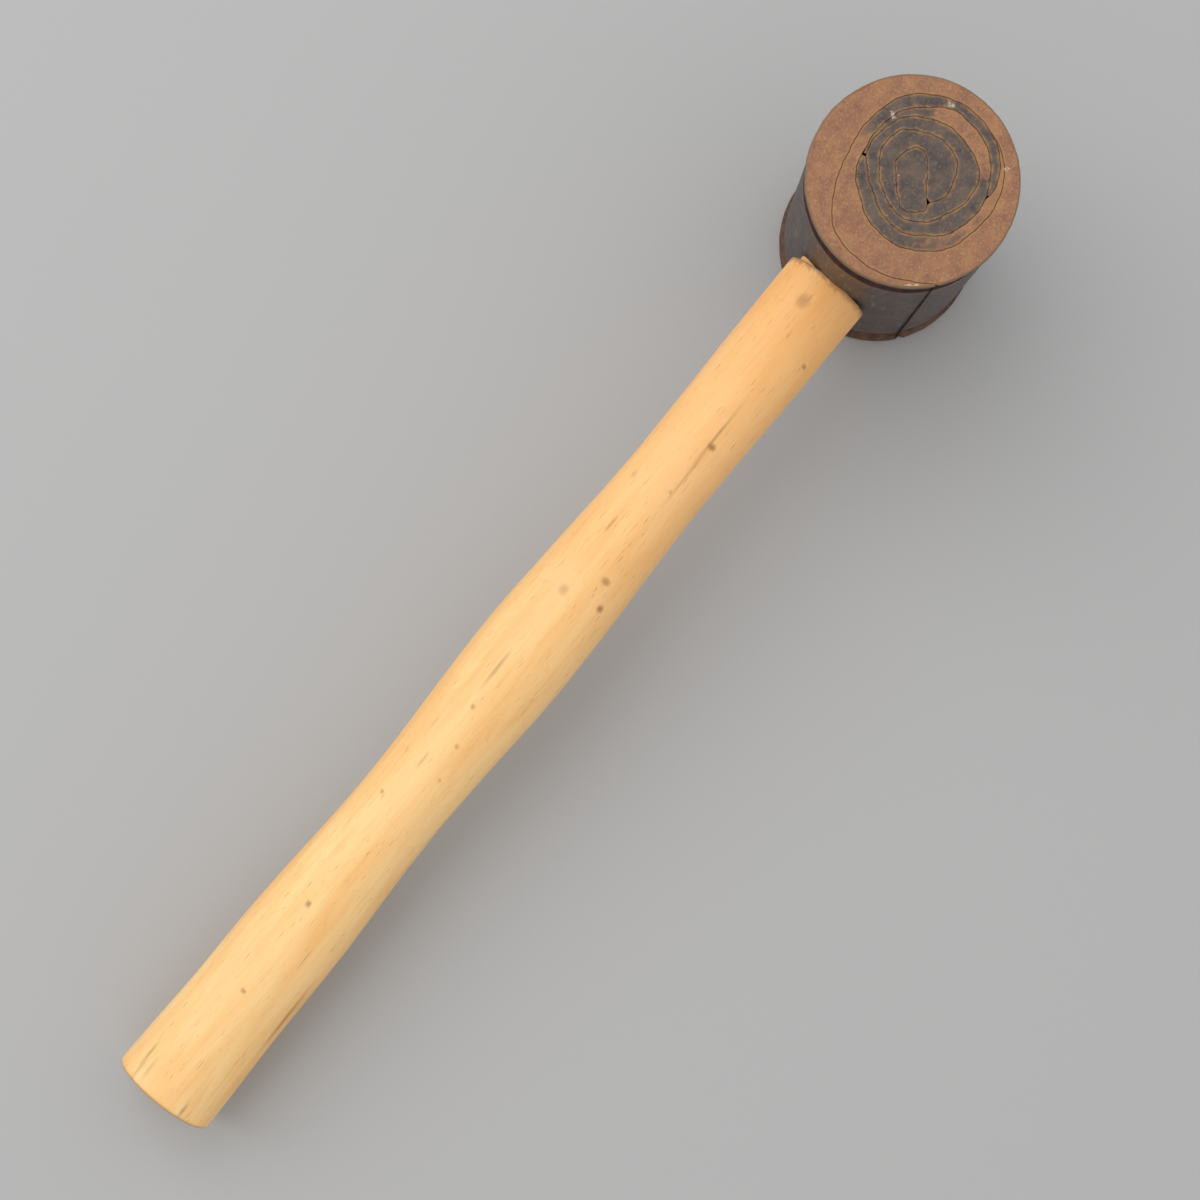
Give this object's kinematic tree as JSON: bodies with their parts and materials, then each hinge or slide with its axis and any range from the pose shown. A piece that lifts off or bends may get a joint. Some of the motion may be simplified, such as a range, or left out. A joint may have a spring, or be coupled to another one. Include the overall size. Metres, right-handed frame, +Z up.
{
  "type": "rawhide mallet",
  "caption": "Soft-faced striking mallet with a rolled rawhide head, square across a round turned hardwood handle, wedged in the eye.",
  "frame": {"origin": "on the floor, under the middle of the mallet's bounding box as it lies", "axes": "+X along the handle from butt to head, +Z up; the mallet lies on the lower face's rim and on the edge of its butt, leaning 6 degrees"},
  "size_m": [0.3124, 0.0516, 0.0863],
  "materials": {
    "hide_core": "matt, stained nearly black",
    "hide_inner": "matt, stained dark grey-brown",
    "hide_tongue": "matt, stained dark grey-brown",
    "hide_outer": "shellacked brown, worn at the rim",
    "handle_wood": "varnished, worn satin",
    "wedge_wood": "bare end grain"
  },
  "bodies": {
    "root": {"core_fold": "hide_core", "inner_strip": "hide_inner", "tongue_strip": "hide_tongue", "outer_strip": "hide_outer", "handle": "handle_wood", "handle_wedge": "wedge_wood"}
  },
  "joints": []
}
